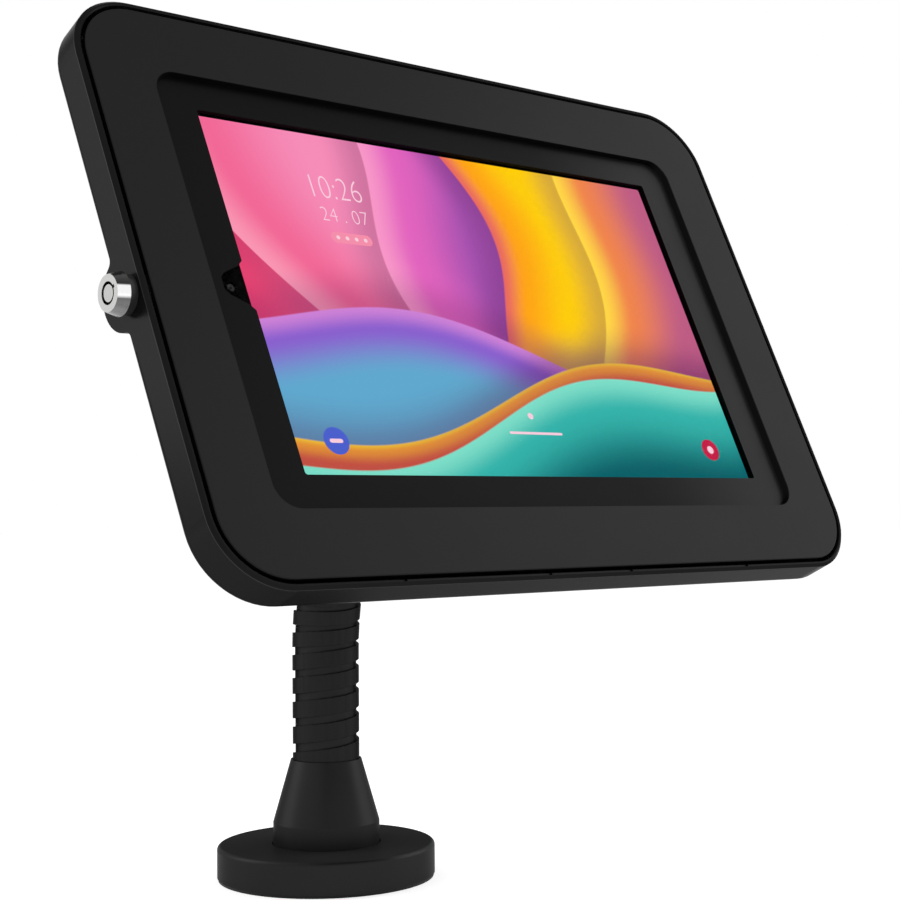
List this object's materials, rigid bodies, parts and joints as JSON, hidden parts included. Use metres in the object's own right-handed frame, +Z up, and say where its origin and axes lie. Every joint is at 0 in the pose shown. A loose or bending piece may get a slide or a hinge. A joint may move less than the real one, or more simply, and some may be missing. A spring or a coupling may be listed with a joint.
{
  "type": "tablet kiosk stand",
  "caption": "Security stand for a tablet: a locked black steel tray with a framed screen, on a bendable neck that rises from a round bolt-down foot.",
  "frame": {"origin": "middle of the foot's underside, on the counter", "axes": "+Z up, the screen faces -Y and leans back 26 degrees, +X on the right of the person who reads it"},
  "size_m": [0.3097, 0.1985, 0.3196],
  "materials": {
    "black_coat": "satin black powder coat",
    "black_strip": "satin black coated strip",
    "black_rubber": "matte black rubber",
    "foam": "dark closed-cell foam",
    "steel": "zinc-plated steel",
    "lock_silver": "brushed nickel",
    "tablet_back": "dark anodised",
    "screen_glass": "clear cover glass",
    "black_print": "black border print",
    "screen_picture": "lit display",
    "display_steel": "pressed backing",
    "cell_wrap": "cell wrap",
    "board_green": "solder mask",
    "lens_black": "camera lens"
  },
  "bodies": {
    "base": {"foot_plate": "steel", "foot_seal": "black_rubber", "foot_cover": "black_coat", "foot_ferrule": "black_coat", "neck_socket": "steel", "socket_screws": "steel", "foot_grommet": "black_rubber", "neck_hose": "black_rubber", "neck_coil": "black_strip"},
    "link_01": {"neck_link_01": "steel"},
    "link_02": {"neck_link_02": "steel"},
    "link_03": {"neck_link_03": "steel"},
    "link_04": {"neck_link_04": "steel"},
    "link_05": {"neck_link_05": "steel"},
    "link_06": {"neck_link_06": "steel"},
    "link_07": {"neck_link_07": "steel"},
    "link_08": {"neck_link_08": "steel"},
    "link_09": {"neck_link_09": "steel"},
    "link_10": {"neck_link_10": "steel"},
    "link_11": {"neck_link_11": "steel"},
    "head": {"head_stem": "steel", "head_ferrule": "black_coat", "mount_flange": "black_coat", "stem_screws": "steel", "flange_screws": "steel", "tray_grommet": "black_rubber", "rear_tray": "black_coat", "back_pads": "foam", "corner_pads": "foam", "edge_pads": "foam", "lock_seat": "black_rubber", "lock_barrel": "lock_silver", "lock_washer": "steel", "lock_nut": "steel", "tablet_housing": "tablet_back", "tablet_glass": "screen_glass", "glass_border": "black_print", "display_panel": "screen_picture", "display_tray": "display_steel", "tablet_battery": "cell_wrap", "main_board": "board_green", "front_camera": "lens_black"},
    "lock_core": {"lock_plug": "lock_silver", "lock_cam": "steel", "cam_screw": "steel"},
    "front_frame": {"faceplate": "black_coat", "hook_tabs": "black_coat", "catch_bracket": "black_coat"},
    "power_key": {"power_button": "tablet_back"},
    "volume_key": {"volume_button": "tablet_back"}
  },
  "joints": [
    {"name": "neck_bend_01", "type": "hinge", "parent": "base", "child": "link_01", "pos_m": [0, 0, 0.05572], "axis": [1, 0, 0], "range_deg": [-10, 5], "deforming": ["neck_hose", "neck_coil"]},
    {"name": "neck_side_01", "type": "hinge", "parent": "link_01", "child": "link_02", "pos_m": [0, 0, 0.07116], "axis": [0, 1, 0], "range_deg": [-7.5, 7.5], "deforming": ["neck_hose", "neck_coil"]},
    {"name": "neck_bend_02", "type": "hinge", "parent": "link_02", "child": "link_03", "pos_m": [0, 0, 0.08661], "axis": [1, 0, 0], "range_deg": [-10, 5], "deforming": ["neck_hose", "neck_coil"]},
    {"name": "neck_side_02", "type": "hinge", "parent": "link_03", "child": "link_04", "pos_m": [0, -0.00048, 0.10203], "axis": [0, 0.9962, 0.0866], "range_deg": [-7.5, 7.5], "deforming": ["neck_hose", "neck_coil"]},
    {"name": "neck_bend_03", "type": "hinge", "parent": "link_04", "child": "link_05", "pos_m": [0, -0.00274, 0.1173], "axis": [1, 0, 0], "range_deg": [-10, 5], "deforming": ["neck_hose", "neck_coil"]},
    {"name": "neck_side_03", "type": "hinge", "parent": "link_05", "child": "link_06", "pos_m": [0, -0.00684, 0.13218], "axis": [0, 0.9463, 0.3232], "range_deg": [-7.5, 7.5], "deforming": ["neck_hose", "neck_coil"]},
    {"name": "neck_bend_04", "type": "hinge", "parent": "link_06", "child": "link_07", "pos_m": [0, -0.0127, 0.14645], "axis": [1, 0, 0], "range_deg": [-10, 5], "deforming": ["neck_hose", "neck_coil"]},
    {"name": "neck_side_04", "type": "hinge", "parent": "link_07", "child": "link_08", "pos_m": [0, -0.02025, 0.15992], "axis": [0, 0.8411, 0.5409], "range_deg": [-7.5, 7.5], "deforming": ["neck_hose", "neck_coil"]},
    {"name": "neck_bend_05", "type": "hinge", "parent": "link_08", "child": "link_09", "pos_m": [0, -0.02937, 0.17237], "axis": [1, 0, 0], "range_deg": [-10, 5], "deforming": ["neck_hose", "neck_coil"]},
    {"name": "neck_side_05", "type": "hinge", "parent": "link_09", "child": "link_10", "pos_m": [0, -0.03993, 0.18362], "axis": [0, 0.6866, 0.727], "range_deg": [-7.5, 7.5], "deforming": ["neck_hose", "neck_coil"]},
    {"name": "neck_bend_06", "type": "hinge", "parent": "link_10", "child": "link_11", "pos_m": [0, -0.05177, 0.19352], "axis": [1, 0, 0], "range_deg": [-10, 5], "deforming": ["neck_hose", "neck_coil"]},
    {"name": "neck_side_06", "type": "hinge", "parent": "link_11", "child": "head", "pos_m": [0, -0.06472, 0.20191], "axis": [0, 0.492, 0.8706], "range_deg": [-7.5, 7.5], "deforming": ["neck_hose", "neck_coil"]},
    {"name": "faceplate_swing", "type": "hinge", "parent": "head", "child": "front_frame", "pos_m": [0, -0.15319, 0.12845], "axis": [1, 0, 0], "range_deg": [0, 80]},
    {"name": "lock_turn", "type": "hinge", "parent": "head", "child": "lock_core", "pos_m": [-0.1514, -0.10109, 0.21657], "axis": [-1, 0, 0], "range_deg": [0, 90]},
    {"name": "power_press", "type": "slide", "parent": "head", "child": "power_key", "axis": [0, -0.4384, -0.8988], "range_m": [0, 0.0004], "stiffness_N_per_m": 800},
    {"name": "volume_press", "type": "slide", "parent": "head", "child": "volume_key", "axis": [0, -0.4384, -0.8988], "range_m": [0, 0.0004], "stiffness_N_per_m": 800}
  ]
}
